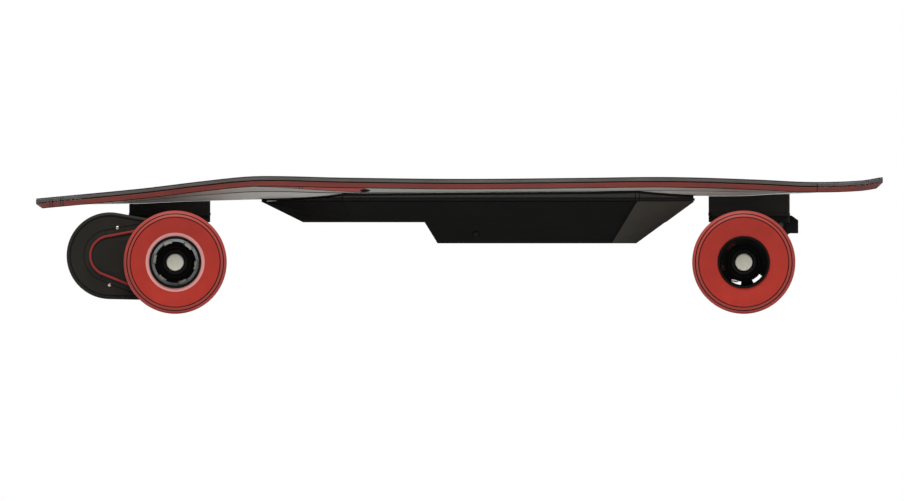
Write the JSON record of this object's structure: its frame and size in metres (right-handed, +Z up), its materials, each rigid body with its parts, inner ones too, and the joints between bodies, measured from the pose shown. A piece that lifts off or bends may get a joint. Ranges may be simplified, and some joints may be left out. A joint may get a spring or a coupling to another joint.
{
  "type": "electric skateboard",
  "caption": "Electric skateboard with a kinked, dished deck, two sprung trucks, large-core wheels, a covered belt drive and a two-level battery enclosure.",
  "frame": {"origin": "on the ground, below the middle of the deck", "axes": "+X to the nose, +Y to the left of a rider who faces the nose, +Z up"},
  "size_m": [0.7954, 0.28, 0.1289],
  "materials": {
    "grip": "gritty black abrasive",
    "deck_upper": "dark grey dyed veneer, satin lacquer",
    "deck_lower": "red dyed veneer with a pale grey underside, satin lacquer",
    "riser": "moulded black",
    "truck": "satin black on cast aluminium",
    "steel": "zinc plated",
    "axle_nut": "pale warm grey, satin",
    "bushing": "cast urethane",
    "urethane": "cast red urethane",
    "core": "black glass-filled nylon",
    "bearing": "ground steel with black seals",
    "alloy": "machined",
    "wheel_pulley": "cream moulded nylon",
    "motor_can": "black anodised",
    "black_rubber": "matte",
    "cover": "fine moulded texture",
    "cover_trim": "satin red",
    "enclosure": "fine moulded texture",
    "battery_wrap": "shrink wrap",
    "circuit_board": "solder mask",
    "button": "soft black"
  },
  "bodies": {
    "board": {"grip_tape": "grip", "deck_upper_laminate": "deck_upper", "deck_lower_laminate": "deck_lower", "front_riser": "riser", "rear_riser": "riser", "enclosure_shell": "enclosure", "enclosure_gasket": "black_rubber", "battery_pack": "battery_wrap", "speed_controller": "circuit_board", "charge_port": "button", "cable_gland": "button", "front_baseplate": "truck", "front_pivot_cup": "bushing", "front_upper_bushing": "bushing", "front_lower_bushing": "bushing", "front_cup_washer": "steel", "front_kingpin_nut": "steel", "front_kingpin": "steel", "rear_baseplate": "truck", "rear_pivot_cup": "bushing", "rear_upper_bushing": "bushing", "rear_lower_bushing": "bushing", "rear_cup_washer": "steel", "rear_kingpin_nut": "steel", "rear_kingpin": "steel"},
    "front_truck": {"front_hanger": "truck", "front_axle": "steel", "front_right_axle_nut": "axle_nut", "front_left_axle_nut": "axle_nut"},
    "rear_truck": {"rear_hanger": "truck", "rear_axle": "steel", "rear_right_axle_nut": "axle_nut", "rear_left_axle_nut": "axle_nut", "motor_mount": "alloy", "motor_stator": "alloy", "drive_belt": "black_rubber", "belt_cover_inner": "cover", "belt_cover_outer": "cover", "belt_cover_trim": "cover_trim"},
    "front_right_wheel": {"front_right_tyre": "urethane", "front_right_core": "core", "front_right_outer_bearing": "bearing", "front_right_inner_bearing": "bearing"},
    "front_left_wheel": {"front_left_tyre": "urethane", "front_left_core": "core", "front_left_outer_bearing": "bearing", "front_left_inner_bearing": "bearing"},
    "rear_right_wheel": {"rear_right_tyre": "urethane", "rear_right_core": "core", "rear_right_outer_bearing": "bearing", "rear_right_inner_bearing": "bearing", "wheel_pulley": "wheel_pulley", "pulley_clamp_ring": "alloy"},
    "rear_left_wheel": {"rear_left_tyre": "urethane", "rear_left_core": "core", "rear_left_outer_bearing": "bearing", "rear_left_inner_bearing": "bearing"},
    "motor_rotor": {"motor_rotor": "motor_can", "motor_pulley": "alloy"},
    "power_button": {"power_button": "button"}
  },
  "joints": [
    {"name": "front_steer", "type": "hinge", "parent": "board", "child": "front_truck", "pos_m": [0.309, 0, 0.084], "axis": [0.866, 0, 0.5], "range_deg": [-11, 11], "stiffness_Nm_per_rad": 60, "deforming": ["front_upper_bushing", "front_lower_bushing"]},
    {"name": "rear_steer", "type": "hinge", "parent": "board", "child": "rear_truck", "pos_m": [-0.309, 0, 0.084], "axis": [-0.866, 0, 0.5], "range_deg": [-7, 7], "stiffness_Nm_per_rad": 90, "deforming": ["rear_upper_bushing", "rear_lower_bushing"]},
    {"name": "front_right_spin", "type": "hinge", "parent": "front_truck", "child": "front_right_wheel", "pos_m": [0.267, -0.114, 0.0485], "axis": [0, 1, 0], "continuous": true},
    {"name": "front_left_spin", "type": "hinge", "parent": "front_truck", "child": "front_left_wheel", "pos_m": [0.267, 0.114, 0.0485], "axis": [0, 1, 0], "continuous": true},
    {"name": "rear_right_spin", "type": "hinge", "parent": "rear_truck", "child": "rear_right_wheel", "pos_m": [-0.267, -0.114, 0.0485], "axis": [0, 1, 0], "continuous": true},
    {"name": "rear_left_spin", "type": "hinge", "parent": "rear_truck", "child": "rear_left_wheel", "pos_m": [-0.267, 0.114, 0.0485], "axis": [0, 1, 0], "continuous": true},
    {"name": "motor_spin", "type": "hinge", "parent": "rear_truck", "child": "motor_rotor", "pos_m": [-0.3282, -0.04, 0.0546], "axis": [0, 1, 0], "continuous": true},
    {"name": "power_button_press", "type": "slide", "parent": "board", "child": "power_button", "axis": [0, 0.9398, 0.3417], "range_m": [0, 0.0012], "stiffness_N_per_m": 400}
  ],
  "couplings": [
    {"joint": "motor_spin", "follows": "rear_right_spin", "ratio": 2.25}
  ]
}
